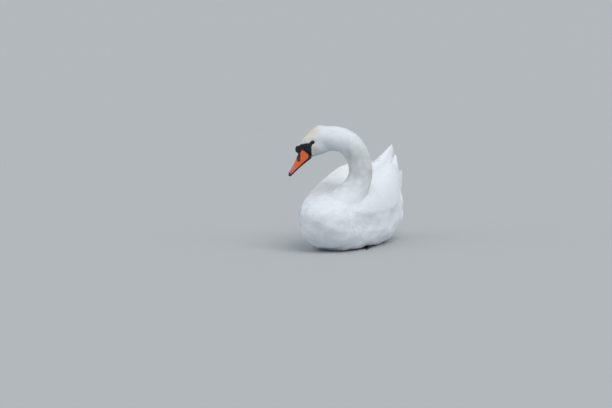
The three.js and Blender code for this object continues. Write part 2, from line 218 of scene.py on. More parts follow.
def tints_and_painted_light(points):
    """The plumage's two tints at each place: the buff of the forehead and crown, with a fainter painted
    glow of warm light inside the raised wing, and the grey of the neck, part stain on worn feathers and
    part painted shade, lighter over the top of its arch, where the light falls. Each runs in from where
    there is none of it to where it is full."""
    left, ahead, up = in_head(points).T
    over_crown = smooth(up, 34, 50) * smooth(ahead, -92, -62) * smooth(np.abs(left), 36, 18)
    over_crown *= 0.45 + 0.55 * smooth(ahead, -8, -28)
    x, y, z = points.T
    # Painted shade on the neck, mixed with its real stain, lighter over the top of the arch, where the light
    # falls.
    neck_stain_and_shade = smooth(z, 0.150, 0.235) * smooth(y, -0.03, -0.07) * (1 - 0.8 * smooth(z, 0.30, 0.37))
    neck_stain_and_shade *= 0.80 + 0.55 * noise_at(points, STAIN_WIDTH)
    # A painted glow of warm light inside the raised wing, kept off its outer face.
    painted_wing_glow = WING_GLOW * smooth(x, -0.020, -0.045) * smooth(y, -0.16, -0.10) * smooth(z, 0.13, 0.17)
    closing_in = 0.42 * np.maximum(y - 0.08, 0.0)  # the wing's outer face, towards the tip
    painted_wing_glow *= smooth(x, closing_in - 0.113, closing_in - 0.094)
    return np.stack([over_crown + painted_wing_glow, np.maximum(neck_stain_and_shade, 0.0), np.zeros(len(points))], 1)


def values_of(items, name, width, kind=np.float32):
    """One value of each of a mesh's items, as rows of width numbers."""
    values = np.empty(len(items) * width, kind)
    items.foreach_get(name, values)
    return values.reshape(-1, width)


def arrays_of(mesh):
    """A mesh's points, its edges' ends, and its points' normals."""
    points = values_of(mesh.vertices, "co", 3).astype(float)
    edges = values_of(mesh.edges, "vertices", 2, np.int32)
    return points, edges, values_of(mesh.vertices, "normal", 3).astype(float)


def place(mesh, points):
    """Moves a mesh's vertices to these points."""
    mesh.vertices.foreach_set("co", points.astype(np.float32).ravel())
    mesh.update()


def averaged(values, edges, rounds):
    """Each vertex's number or row of numbers becomes its neighbours' average, over and over."""
    if values.ndim == 1:
        return averaged(values.astype(float)[:, None], edges, rounds)[:, 0]
    ends = np.concatenate([edges[:, 0], edges[:, 1]])
    others = np.concatenate([edges[:, 1], edges[:, 0]])
    count = np.maximum(np.bincount(ends, minlength=len(values)), 1)
    for _ in range(rounds):
        summed = [np.bincount(ends, column[others], len(values)) for column in values.T]
        values = np.stack(summed, 1) / count[:, None]
    return values


def relaxed(points, edges, rounds):
    """Smooths a surface without shrinking it: each round pulls in and then pushes a little further out."""
    for _ in range(rounds):
        points = points + 0.5 * (averaged(points, edges, 1) - points)
        points = points - 0.52 * (averaged(points, edges, 1) - points)
    return points


def remeshed(mesh, voxel):
    """The outer surface of closed, overlapping meshes as one even net of squares."""
    holder = placed("holder", mesh)
    voxels = holder.modifiers.new("voxels", "REMESH")
    voxels.mode = "VOXEL"
    voxels.voxel_size = voxel
    bpy.context.view_layer.update()
    evaluated = holder.evaluated_get(bpy.context.evaluated_depsgraph_get())
    net = bpy.data.meshes.new_from_object(evaluated)
    bpy.data.objects.remove(holder)
    return net


def joined(names, growth):
    """The named solids copied into one mesh, each swollen by growth."""
    whole = bmesh.new()
    for name in names:
        whole.from_mesh(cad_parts[name].data)
    bmesh.ops.remove_doubles(whole, verts=whole.verts, dist=1e-5)
    whole.normal_update()
    for vertex in whole.verts:
        vertex.co += vertex.normal * growth
    mesh = bpy.data.meshes.new("joined")
    whole.to_mesh(mesh)
    whole.free()
    return mesh


def lofted(net, rings):
    """Adds a closed tube through rings of points to a net."""
    rings = [[net.verts.new(point) for point in ring] for ring in rings]
    for ring, following in zip(rings, rings[1:]):
        for k in range(len(ring)):
            after = (k + 1) % len(ring)
            net.faces.new((ring[k], ring[after], following[after], following[k]))
    net.faces.new(rings[0][::-1])
    net.faces.new(rings[-1])


def tree_of(meshes):
    """A search tree of the meshes' faces, and which mesh each face is from."""
    net = bmesh.new()
    numbers = []
    for number, mesh in enumerate(meshes):
        net.from_mesh(mesh)
        numbers += [number] * (len(net.faces) - len(numbers))
    tree = BVHTree.FromBMesh(net)
    net.free()
    return tree, np.array(numbers)


def nearest_on(tree, points):
    """The nearest places on a surface, their normals and their faces."""
    found = [tree.find_nearest(point) for point in points.tolist()]
    places = np.array([hit[0][:] for hit in found])
    normals = np.array([hit[1][:] for hit in found])
    return places, normals, np.array([hit[2] for hit in found])


def shown(name, mesh, material):
    """One piece of the bird, smooth all over."""
    piece = placed(name, mesh)
    mesh.polygons.foreach_set("use_smooth", np.ones(len(mesh.polygons), bool))
    mesh.materials.append(material)
    return piece


def give(mesh, name, values):
    """Stores a number or a triple for each vertex, for the materials to read."""
    kind, key = ("FLOAT_VECTOR", "vector") if values.ndim == 2 else ("FLOAT", "value")
    stored = mesh.attributes.new(name, kind, "POINT")
    stored.data.foreach_set(key, values.astype(np.float32).ravel())


solids_tree, solid_of_face = tree_of([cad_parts[name].data for name in FLESH])


def parts_at(points):
    """The number in FLESH of the solid that each place belongs to."""
    return solid_of_face[nearest_on(solids_tree, points)[2]]


def seam_of_wing(parts, edges, points, rounds):
    """How near each place is to the wing's lower edge, from 0 to 1."""
    winged = averaged(parts >= WINGS_FROM, edges, rounds)
    folded = smooth(points[:, 2], 0.165, 0.145) * smooth(points[:, 1], 0.165, 0.115)
    return 4 * winged * (1 - winged) * folded


# The outline that the feathers' tips reach: the solids run together, their facets smoothed away. The
# black skin of the face runs on over the bill's knob, so the knob is part of it. The flank's feathers
# close over the folded wing's lower edge, so the step there is filled and rounded.
# The wings' inner edges all but meet over the rump, so a strip closes them: back, lower, upper edge.
MEETING = [
    (0.205, 0.185, 0.200), (0.240, 0.187, 0.206), (0.270, 0.194, 0.214), (0.300, 0.213, 0.236),
    (0.312, 0.224, 0.247),
]
MEETING_HALF_WIDTH = 0.007
# Rounds of smoothing: the facets away, the step under the wing, from one part's coat to the next, and
# the head, neck and trunk into each other.
EVENING_ROUNDS = 20
SEAM_ROUNDS = 60
COAT_ROUNDS = 14
SUPPLE_ROUNDS = 110
solids = joined([*FLESH, "bill_knob"], GROWTH)
net = bmesh.new()
net.from_mesh(solids)
wide = MEETING_HALF_WIDTH
lofted(net, [
    ((-wide, y, low), (wide, y, low), (wide, y, high), (-wide, y, high)) for y, low, high in MEETING
])
net.to_mesh(solids)
net.free()

outline = remeshed(solids, OUTLINE_VOXEL)
outline_points, outline_edges, _ = arrays_of(outline)
outline_points = relaxed(outline_points, outline_edges, EVENING_ROUNDS)
seam = seam_of_wing(parts_at(outline_points), outline_edges, outline_points, EVENING_ROUNDS)
levelled = averaged(outline_points, outline_edges, SEAM_ROUNDS)
outline_points += (levelled - outline_points) * smooth(seam, 0.04, 0.5)[:, None]
place(outline, outline_points)
outline = remeshed(outline, OUTLINE_VOXEL)
outline_points, outline_edges, _ = arrays_of(outline)
part_of = parts_at(outline_points)
measures = averaged(np.array([COAT[name] for name in FLESH])[part_of], outline_edges, COAT_ROUNDS)
seam = seam_of_wing(part_of, outline_edges, outline_points, COAT_ROUNDS)
is_wing = part_of >= WINGS_FROM

# The head, neck and trunk run into each other without a step; the wings keep their edges.
supple = np.maximum(averaged(~is_wing, outline_edges, 6), smooth(seam, 0.1, 0.5))
outline_points = relaxed(outline_points, outline_edges, 8)
run_together = relaxed(outline_points, outline_edges, SUPPLE_ROUNDS)
outline_points += (run_together - outline_points) * supple[:, None]
place(outline, outline_points)

# The outline's feathered puffs: broad low swellings over the breast and flanks, hardly any on the neck.
PUFF_WIDTH = 0.034
PUFF_HEIGHT = 0.0052
outline_points, outline_edges, outline_normals = arrays_of(outline)
low_down = 1 - smooth(outline_points[:, 2], 0.10, 0.19)
not_wing = averaged(~is_wing, outline_edges, 8)
lift = noise_at(outline_points, PUFF_WIDTH) * PUFF_HEIGHT * not_wing * (0.25 + 0.75 * low_down)
outline_points = outline_points + outline_normals * lift[:, None]
outline_points[:, 2] = np.maximum(outline_points[:, 2], 0.0)
place(outline, outline_points)
outline_points, outline_edges, outline_normals = arrays_of(outline)
outline_tree, _ = tree_of([outline])

# The skin itself, drawn in by the coat's depth but never by more than a third of the flesh there, and
# hardly at all where it is bare. Between the wings, behind the neck, it lies closer under the feathers.
THICKEST_SHARE = 0.30
THICKEST_FLESH = 0.08
BARE_SHARE = 0.06
FACE_FADE = 9.0  # millimetres
through = []
for point, normal in zip(outline_points.tolist(), outline_normals.tolist()):
    start = Vector(point) - Vector(normal) * 0.0005
    hit = outline_tree.ray_cast(start, -Vector(normal), THICKEST_FLESH)
    through.append(hit[3] if hit[0] is not None else THICKEST_FLESH)
coated = BARE_SHARE + (1 - BARE_SHARE) * smooth(off_lores(outline_points), 0.0, FACE_FADE)
draw_in = np.minimum(measures[:, 0], THICKEST_SHARE * np.array(through)) * coated
x, y, z = outline_points.T
draw_in *= 1 - 0.7 * smooth(np.abs(x), 0.040, 0.018) * smooth(y, -0.16, -0.13) * smooth(z, 0.155, 0.175)
draw_in = averaged(draw_in, outline_edges, 4)
skin_mesh = outline.copy()
place(skin_mesh, relaxed(outline_points - outline_normals * draw_in[:, None], outline_edges, 4))
skin_mesh = remeshed(skin_mesh, SKIN_VOXEL)


def refined(mesh, centre, reach):
    """Splits the faces within reach of a point."""
    net = bmesh.new()
    net.from_mesh(mesh)
    centre = Vector(centre)
    near = [
        edge for edge in net.edges
        if min((vertex.co - centre).length for vertex in edge.verts) < reach
    ]
    bmesh.ops.subdivide_edges(net, edges=near, cuts=1, use_grid_fill=True)
    net.to_mesh(mesh)
    net.free()


FACE_FINE = 0.052
LIDS_FINE = (0.013, 0.0105)
refined(skin_mesh, gape + 0.012 * backward + 0.026 * crownward, FACE_FINE)
for _, _, centre in SIDES:
    for reach in LIDS_FINE:
        refined(skin_mesh, centre, reach)

# In the folded wing's thin blade the skin ends short of the primaries' tips, which make an arc from
# the blade's lower edge to its upper one.
BLADE_LOW = 0.15903
BLADE_DEPTH = 0.043
SKIN_END = 0.318
SKIN_ROUNDING = 0.010
ARC_DEPTH = 0.055  # how far the lowest and highest tips fall short
ARC_MIDDLE = 0.55  # where up the blade the longest is
skin_points, skin_edges, _ = arrays_of(skin_mesh)
skin_points = relaxed(skin_points, skin_edges, 3)
in_blade = (parts_at(skin_points) >= WINGS_FROM) * smooth(skin_points[:, 2], 0.230, 0.212)
level = (skin_points[:, 2] - BLADE_LOW) / BLADE_DEPTH
beyond = np.maximum(skin_points[:, 1] - SKIN_END + ARC_DEPTH * np.abs(level - ARC_MIDDLE), 0.0)
skin_points[:, 1] -= (beyond - SKIN_ROUNDING * (1 - np.exp(-beyond / SKIN_ROUNDING))) * in_blade

# The lids: a soft ring of skin drawn over the eyeball's edge, with the opening inside it, lower than
# it is wide.
LID_INNER = 0.0049  # half the opening
LID_OUTER = 0.0068
LID_FADE = 0.0088
LID_THICKNESS = 0.0006
LID_HEIGHT = 0.0030  # the least, above the eye's middle
OPENING_FLATNESS = 1.14
OPENING_DEPTH = 0.0022
for _, way, centre in SIDES:
    axis = way * leftward
    offset = skin_points - centre
    out = offset @ axis
    flat = offset - out[:, None] * axis
    across = np.sqrt((flat @ forward) ** 2 + (OPENING_FLATNESS * (flat @ crownward)) ** 2)
    ball = np.sqrt(np.maximum(eye_radius**2 - np.linalg.norm(flat, axis=1) ** 2, 0.0))
    fading = smooth(across, LID_OUTER, LID_FADE)
    lid = np.maximum(ball + LID_THICKNESS, LID_HEIGHT) - LID_THICKNESS * fading
    opening = 1 - smooth(across, LID_INNER - 0.0004, LID_INNER + 0.0003)
    moved = (lid - out) * (1 - fading) - opening * OPENING_DEPTH
    touched = (out > 0) & (across < LID_FADE)
    skin_points[touched] += moved[touched, None] * axis
place(skin_mesh, skin_points)
skin_points = arrays_of(skin_mesh)[0]

BLACK_ROUND_EYE = 7.4  # millimetres from the eye's middle
to_black = np.minimum.reduce([off_lores(skin_points)] + [
    apart(skin_points, centre) * 1000 - BLACK_ROUND_EYE for _, _, centre in SIDES])
give(skin_mesh, "lores", np.minimum(to_black, FAR_FROM_FACE))
give(skin_mesh, "tint_and_painted_light", tints_and_painted_light(skin_points))


class Paint:
    """A material with one Principled shader, and short ways to add its nodes and wire them. A socket's
    value is a number, a colour or another node's output."""

    def __init__(self, name, roughness, specular, **sockets):
        self.material = bpy.data.materials.new(name)
        self.material.use_nodes = True
        self.tree = self.material.node_tree
        self.surface = self.tree.nodes["Principled BSDF"]
        self.fill(self.surface, {"Roughness": roughness, "Specular IOR Level": specular})
        self.fill(self.surface, {key.replace("_", " "): value for key, value in sockets.items()})

    def fill(self, target, sockets):
        for key, value in sockets.items():
            if isinstance(value, bpy.types.NodeSocket):
                self.tree.links.new(value, target.inputs[key])
            else:
                target.inputs[key].default_value = value

    def node(self, kind, sockets, **settings):
        """Adds a node and gives its outputs."""
        made = self.tree.nodes.new("ShaderNode" + kind)
        for key, value in settings.items():
            setattr(made, key, value)
        self.fill(made, sockets)
        return made.outputs

    def sums(self, operation, first, second=0.0):
        return self.node("Math", {0: first, 1: second}, operation=operation)[0]

    def plus(self, first, second):
        return self.sums("ADD", first, second)

    def times(self, first, second):
        return self.sums("MULTIPLY", first, second)

    def blend(self, share, *colours):
        """One colour turning into another as share goes from 0 to 1."""
        first, second = ((*c, 1.0) if isinstance(c, tuple) else c for c in colours)
        return self.node("Mix", {0: share, 6: first, 7: second}, data_type="RGBA")[2]

    def ramp(self, value, start, end):
        """Value's way from start to end, as a smooth step from 0 to 1."""
        return self.node("MapRange", {0: value, 1: start, 2: end}, interpolation_type="SMOOTHSTEP")[0]

    def stored(self, name, output="Fac"):
        """What give() stored in the mesh under this name."""
        return self.node("Attribute", {}, attribute_name=name)[output]

    def parts(self, name):
        return self.node("SeparateXYZ", {0: self.stored(name, "Vector")})

    def where(self):
        return self.node("TexCoord", {})["Object"]

    def speckle(self, scale, detail=3.0):
        """Soft random values around 0.5 at a scale in speckles per metre."""
        return self.node("TexNoise", {"Vector": self.where(), "Scale": scale, "Detail": detail})["Fac"]

    def cells(self, scale):
        """How far each place is from the edge of its cell, at a scale in cells per metre."""
        sockets = {"Vector": self.where(), "Scale": scale}
        return self.node("TexVoronoi", sockets, feature="DISTANCE_TO_EDGE")["Distance"]

    def finish(self, colour, height, strength, depth):
        """Wires up the colour, and the relief of the given height."""
        bump = self.node("Bump", {"Strength": strength, "Distance": depth, "Height": height})
        self.fill(self.surface, {"Base Color": colour, "Normal": bump["Normal"]})
        return self.material


paint = Paint("skin", 0.62, 0.2)
ragged = paint.plus(paint.stored("lores"), paint.times(paint.speckle(900.0), 1.6))
# The faint buff includes the painted glow of warm light inside the raised wing.
faint_buff_and_glow = paint.times(paint.parts("tint_and_painted_light")[0], 0.3)
plucked = paint.blend(faint_buff_and_glow, DOWN_WHITE, BUFF_AND_GLOW)
worn = paint.blend(paint.speckle(240.0), BLACK_SKIN, WORN_SKIN)
coloured = paint.blend(paint.ramp(ragged, 0.1, 1.1), worn, plucked)
skin = shown("skin", skin_mesh, paint.finish(coloured, paint.cells(1100.0), 0.35, 0.0004))
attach(skin, "root")
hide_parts(*FLESH)


# -------------------- body feathers
# The contour coat: narrow soft tufts on the head and neck, so fine that they read as velvet, and broad
# round vanes on the breast, flanks, belly and rump. Each is thin, rooted under its neighbours, and lies
# flat with its tip over the next ones' roots, from the bill down the neck and back to the tail.

# The neck's middle line from the breast to the back of the head.
NECK_LINE = np.array([
    (0.004, -0.184, 0.084), (0.020, -0.176, 0.118), (0.041, -0.154, 0.152), (0.060, -0.120, 0.190),
    (0.071, -0.101, 0.228), (0.072, -0.102, 0.270), (0.060, -0.112, 0.312), (0.037, -0.129, 0.341),
    (0.006, -0.146, 0.352), (-0.022, -0.158, 0.3515), (-0.042, -0.168, 0.342),
])
NECK_STEPS = 80
NECK_ROOT = np.array((0.025, -0.150, 0.150))  # where the neck comes out of the breast
ROOT_PULL = 2.4  # how much more the feathers point away from there than along the body
BODY_AXIS_HEIGHT = 0.10
WHITE = (0.81, 0.86, 0.91)
MOTTLED_WHITE = (0.80, 0.81, 0.825)
# The neck's grey: part stain on worn feathers, part painted shade.
SHADED_WHITE = (0.56, 0.585, 0.585)
SHAFT_WHITE = (0.80, 0.78, 0.74)

knots = np.linspace(0.0, 1.0, len(NECK_LINE))
fine = np.linspace(0.0, 1.0, NECK_STEPS + 1)
neck_line = np.stack([np.interp(fine, knots, column) for column in NECK_LINE.T], 1)
for _ in range(8):
    neck_line[1:-1] = (neck_line[:-2] + neck_line[1:-1] * 2 + neck_line[2:]) / 4
neck_along = unit(np.gradient(neck_line, axis=0))


def on_neck_line(points):
    """The nearest place on the neck's line, as its number, and how far off it is."""
    gaps = np.linalg.norm(points[:, None, :] - neck_line[None, :, :], axis=2)
    return gaps.argmin(1), gaps.min(1)


def flat_on(vectors, normals):
    """The vectors turned into the surface, all of length one."""
    return unit(vectors - normals * (vectors * normals).sum(-1, keepdims=True))


# The way the feathers point: from the bill over the head and down the neck; out from the neck's root,
# down the front of the breast, then back along the body, and a little up over the wing's lower edge.
nearest, off_line = on_neck_line(outline_points)
down_neck = -neck_along[nearest]
from_bill = unit(outline_points - (gape + 0.030 * forward + 0.010 * crownward))
on_head = smooth(in_head(outline_points)[:, 1], -95.0, -40.0) * smooth(nearest, 56.0, 68.0)
over_neck = unit(down_neck + (from_bill - down_neck) * on_head[:, None])
near_root = smooth(apart(outline_points, NECK_ROOT), 0.26, 0.09)[:, None]
in_front = smooth(outline_points[:, 1], -0.115, -0.185)[:, None]
over_body = in_front * np.array((0.0, -0.3, -1.0)) + (1 - in_front) * np.array((0.0, 1.0, -0.08))
over_body += ROOT_PULL * near_root * unit(outline_points - NECK_ROOT) + np.outer(seam, (0.0, 0.0, 0.30))
share = smooth(nearest / NECK_STEPS, 0.10, 0.30) * smooth(off_line, 0.095, 0.065)
share = np.maximum(share, on_head)[:, None]
lie_there = flat_on(unit(over_body) * (1 - share) + over_neck * share, outline_normals)
for _ in range(12):
    lie_there = flat_on(averaged(lie_there, outline_edges, 2), outline_normals)
outline_corners = values_of(outline.loops, "vertex_index", 1, np.int32)[:, 0]
first_corners = values_of(outline.polygons, "loop_start", 1, np.int32)[:, 0]
lie_on_face = unit(lie_there[outline_corners[first_corners]] + lie_there[outline_corners[first_corners + 2]])


def lie(places, faces):
    """The feathers' lie at places on the outline, from the faces that they are on."""
    return lie_on_face[faces]


def stations(steps, crowding=1.6):
    """Shares of a feather's length, closer together towards its tip."""
    return 1 - (1 - np.linspace(0, 1, steps + 1)) ** crowding


def marched(roots, lengths, shares, way, sway):
    """Centre lines that start at the roots and run over the outline the given way, with a row at each
    share of their lengths. Each turns by its own small angle, about as wide as sway. Gives places and
    normals."""
    turns = rng.normal(0.0, sway, len(roots))[:, None]
    found = [nearest_on(outline_tree, roots)]
    for part in np.diff(shares):
        places, normals, faces = found[-1]
        ahead = flat_on(way(places, faces), normals)
        ahead = unit(ahead + np.cross(normals, ahead) * turns)
        found.append(nearest_on(outline_tree, places + ahead * (lengths * part)[:, None]))
    return [np.stack([step[k] for step in found], 1) for k in (0, 1)]


def feather_outline(shares, quill, widening, round_from, blunt):
    """Half widths as shares of the widest: from the quill to parallel sides, then a rounded tip."""
    past = np.maximum(shares - round_from, 0) / (1 + blunt - round_from)
    return np.minimum(quill + widening * shares, 1.0) * np.sqrt(np.maximum(1 - past**2, 0.0))


def vane_plan(rows, columns):
    """One vane's faces: corner numbers and counts. Its top has rows by columns vertices and its flat
    underside two a row; the caps at root and tip have vertices of their own, so that they don't turn
    the top's shading."""
    faces = []
    under = rows * columns
    caps = under + 2 * rows
    for row in range(rows - 1):
        for column in range(columns - 1):
            first = row * columns + column
            faces.append((first, first + 1, first + columns + 1, first + columns))
        low = under + 2 * row
        faces.append((low, low + 2, low + 3, low + 1))
    faces.append(range(caps + columns - 1, caps - 1, -1))
    faces.append(range(caps + columns, caps + 2 * columns))
    return np.concatenate(faces), np.array([len(face) for face in faces])


SHARPEST_TURN = 0.35  # the least cosine from row to row; a vane that would fold over an edge isn't laid
DROOP, LIFT = 0.7, 0.3  # how far a vane's edge may follow the surface down and up, in half widths
SQUEEZED_BELOW = 0.0030  # on the floor feathers are pressed closer, but keep their order
FLOOR_GAP = 0.0004
ARCH_FULL = 1.4  # a row wider than the widest one divided by this has the full arch
PATCH = (0.0015, 0.003)  # half the width and the whole length of a feather's patch on the bake's map


def vanes(name, lines, normals, shares, half, heights, arch, unwrapped, material, columns=5, ragged=0.0,
          clings=True):
    """One mesh of many feathers. lines and normals hold each feather's centre line at the shares of its
    length; half is its half width at each row, heights lift each row, and arch raises its middle. The
    edges of a broad vane that clings bend down to the surface."""
    ways = unit(np.diff(lines, axis=1))
    turns = [(part[:, 1:] * part[:, :-1]).sum(2).min(1) for part in (ways, normals)]
    flat = np.minimum(*turns) > SHARPEST_TURN
    half, heights = (np.broadcast_to(part, lines.shape[:2])[flat] for part in (half, heights))
    arches = np.broadcast_to(arch, len(lines))[flat]
    lines, normals, unwrapped = lines[flat], normals[flat], unwrapped[flat]
    count, rows = lines.shape[:2]
    along = unit(np.gradient(lines, axis=1))
    normals = flat_on(normals, along)
    side = np.cross(along, normals)
    fullness = np.minimum(half / half.max(1, keepdims=True) * ARCH_FULL, 1.0)
    half = half * (1 + ragged * rng.uniform(-1, 1, half.shape))
    drops = np.zeros((2, count, rows))
    if clings and columns > 3:
        for hand, sign in enumerate((-1.0, 1.0)):
            aside = (lines + side * (sign * half)[:, :, None]).reshape(-1, 3)
            found = nearest_on(outline_tree, aside)[0].reshape(count, rows, 3)
            drops[hand] = np.clip(((found - lines) * normals).sum(2), -DROOP * half, LIFT * half)
    across = np.linspace(-1, 1, columns)
    top = np.empty((count, rows, columns, 3))
    for column, x in enumerate(across):
        rise = heights + drops[0 if x < 0 else 1] * x * x + arches[:, None] * (1 - x * x) * fullness
        top[:, :, column] = lines + side * (x * half)[:, :, None] + normals * rise[:, :, None]
    bottom = top[:, :, [0, -1]]
    points = np.concatenate([part.reshape(count, -1, 3) for part in (top, bottom, top[:, 0], top[:, -1])], 1)
    per_vane = points.shape[1]
    points = points.reshape(-1, 3)
    room = SQUEEZED_BELOW - FLOOR_GAP
    pressed = FLOOR_GAP + room * np.exp(np.minimum(points[:, 2] - SQUEEZED_BELOW, 0.0) / room)
    points[:, 2] = np.where(points[:, 2] < SQUEEZED_BELOW, pressed, points[:, 2])
    plan, plan_counts = vane_plan(rows, columns)
    corners = (plan[None, :] + (np.arange(count) * per_vane)[:, None]).ravel()
    counts = np.tile(plan_counts, count)
    mesh = bpy.data.meshes.new(name)
    mesh.vertices.add(len(points))
    mesh.vertices.foreach_set("co", points.astype(np.float32).ravel())
    mesh.loops.add(len(corners))
    mesh.loops.foreach_set("vertex_index", corners.astype(np.int32))
    mesh.polygons.add(len(counts))
    mesh.polygons.foreach_set("loop_start", (np.cumsum(counts) - counts).astype(np.int32))
    mesh.update(calc_edges=True)
    # Where each vertex lies on its own vane, across and along, and the vane's own random number.
    places = [(x, s) for row in (across, (-1.0, 1.0)) for s in shares for x in row]
    places += [(x, s) for s in (0.0, 1.0) for x in across]
    vane = np.column_stack([np.tile(places, (count, 1)), np.repeat(rng.random(count), per_vane)])
    give(mesh, "vane", vane)
    give(mesh, "tint_and_painted_light", tints_and_painted_light(points))
    # The bake's map: each feather is one small patch at its root's place on the unwrapped skin.
    spot = np.repeat(unwrapped, per_vane, 0) + (vane[:, :2] - (0.0, 0.5)) * PATCH
    bake_map = mesh.uv_layers.new(name="OFBake")
    bake_map.uv.foreach_set("vector", spot[corners].astype(np.float32).ravel())
    piece = shown(name, mesh, material)
    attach(piece, "root")
    return piece


def spread_over(values):
    """Values stretched to run from just over 0 to just under 1."""
    low, high = values.min(), values.max()
    return 0.01 + 0.98 * (values - low) / max(high - low, 1e-9)


def round_neck(roots):
    """The neck and head unrolled round the neck's line."""
    nearest, _ = on_neck_line(roots)
    along = neck_along[nearest]
    reference = unit(np.cross(along, np.array((-0.42, 0.91, 0.0))))
    offset = roots - neck_line[nearest]
    angle = np.arctan2((offset * np.cross(along, reference)).sum(1), (offset * reference).sum(1))
    beyond = (offset * along).sum(1)
    return np.stack([spread_over(angle), spread_over(nearest / NECK_STEPS + beyond)], 1)


def round_body(roots):
    """The body unrolled round a line from breast to tail."""
    angle = np.arctan2(roots[:, 2] - BODY_AXIS_HEIGHT, roots[:, 0])
    return np.stack([spread_over(angle), spread_over(roots[:, 1])], 1)


def plumage(name, barbs, relief_depth, roughness=0.72):
    """White vane: a fine slanting ribbing of barbs off a pale shaft, softly mottled, buff on the crown with
    a painted glow of warm light inside the raised wing, and grey on the neck, part stain and part
    painted shade."""
    paint = Paint(name, roughness, 0.25, Sheen_Weight=0.25, Sheen_Roughness=0.6)
    across, along, own = paint.parts("vane")
    buff_and_glow, stain_and_shade, _ = paint.parts("tint_and_painted_light")
    off_shaft = paint.sums("ABSOLUTE", across)
    slant = paint.sums("SUBTRACT", along, paint.times(off_shaft, 0.22))
    ribbing = paint.sums("SINE", paint.times(slant, barbs))
    shaft = paint.ramp(off_shaft, 0.10, 0.03)
    dim = paint.plus(paint.times(paint.speckle(55.0), 0.40), paint.times(own, 0.10))
    white = paint.blend(paint.ramp(dim, 0.15, 0.45), WHITE, MOTTLED_WHITE)
    # Buff and the painted glow of warm light, then the neck's stain and painted shade.
    buffed_and_glowing = paint.blend(paint.times(buff_and_glow, 0.50), white, BUFF_AND_GLOW)
    stained_and_shaded = paint.blend(paint.times(stain_and_shade, 0.90), buffed_and_glowing, SHADED_WHITE)
    shafted = paint.blend(paint.times(shaft, 0.20), stained_and_shaded, SHAFT_WHITE)
    relief = paint.plus(paint.times(ribbing, 0.35), shaft)
    return paint.finish(shafted, relief, 0.25, relief_depth)


NEIGHBOURS = [(a, b, c) for a in (-1, 0, 1) for b in (-1, 0, 1) for c in (-1, 0, 1)]


def scattered(keep, tries, sparser):
    """Random places on the outline no closer together than the coat's own spacing there, and the
    numbers of the outline's vertices next to them."""
    vertices = rng.choice(np.flatnonzero(keep), tries)
    jitter = rng.uniform(-0.5, 0.5, (tries, 3)) * OUTLINE_VOXEL
    jitter -= outline_normals[vertices] * (jitter * outline_normals[vertices]).sum(1, keepdims=True)
    candidates = outline_points[vertices] + jitter
    spacing = measures[vertices, 1] * bareness[vertices] * sparser
    cells = np.floor(candidates / spacing.max()).astype(int)
    chosen = []
    grid = {}
    for i, (point, gap, (a, b, c)) in enumerate(zip(candidates.tolist(), spacing.tolist(), cells.tolist())):
        around = (grid.get((a + x, b + y, c + z), ()) for x, y, z in NEIGHBOURS)
        if all(math.dist(point, other) >= gap for others in around for other in others):
            grid.setdefault((a, b, c), []).append(point)
            chosen.append(i)
    return candidates[chosen], vertices[chosen]


# Feathers shrink towards the bare skin, down to bristles at its edge, and leave the lids free.
SMALLEST = 0.62
FULL_SIZE_FROM = 16.0  # millimetres from the bare skin
LIDS_FREE = 0.0070
outline_to_lores = off_lores(outline_points)
bareness = SMALLEST + (1 - SMALLEST) * smooth(outline_to_lores, 0.0, FULL_SIZE_FROM)
_, ahead, up = in_head(outline_points).T
before_face = (ahead > -1.0) & (up < 40.0) & (apart(outline_points, gape) < 0.06)
feathered = (outline_to_lores > -0.6) & ~before_face
for _, _, centre in SIDES:
    feathered &= apart(outline_points, centre) > LIDS_FREE

velvet = plumage("velvet_feathers", 150.0, 0.00006)
body_coat = plumage("body_feathers", 480.0, 0.00012)

# The cut of a feather: how many vertices across, steps along, half width as a share of its length,
# how deep its root is sunk, its arch as a share of its length, and where its tip starts to round off.
TUFT = (3, 3, 0.140, 0.0008, 0.012, 0.25)
SOFT_VANE = (3, 4, 0.17, 0.0010, 0.008, 0.40)
BROAD_VANE = (5, 5, 0.24, 0.0011, 0.004, 0.50)
UNDER_VANE = (3, 3, 0.34, 0.0012, 0.004, 0.50)
BODY_UNDER_VANE = (5, 3, 0.25, 0.0012, 0.002, 0.50)
LIFT_OVER_SEAM = 0.0010


def contour_feathers(name, keep, tries, cut, material, unwrap, longer=1.0, sparser=1.0, lower=0.0):
    """One patch of the coat, over the outline's vertices in keep. longer and sparser are factors on the
    coat's own measures there, and lower is how much deeper the patch lies, in metres."""
    columns, steps, width, sunk, arch, round_from = cut
    roots, vertices = scattered(keep & feathered, tries, sparser)
    count = len(roots)
    size = bareness[vertices] * rng.uniform(0.85, 1.15, count)
    lengths = measures[vertices, 2] * size * longer
    shares = stations(steps)
    lines, normals = marched(roots, lengths, shares, lie, 0.10)
    half = np.outer(lengths * width, feather_outline(shares, 0.42, 1.15, round_from, 0.01))
    loose = rng.uniform(-0.15, 0.15, count) * sunk * size
    heights = np.outer(-sunk * size, (1 - shares) ** 1.2) + np.outer(loose, shares) - lower
    heights += LIFT_OVER_SEAM * seam[vertices][:, None]
    vanes(name, lines, normals, shares, half, heights, lengths * arch, unwrap(roots), material, columns, 0.07)


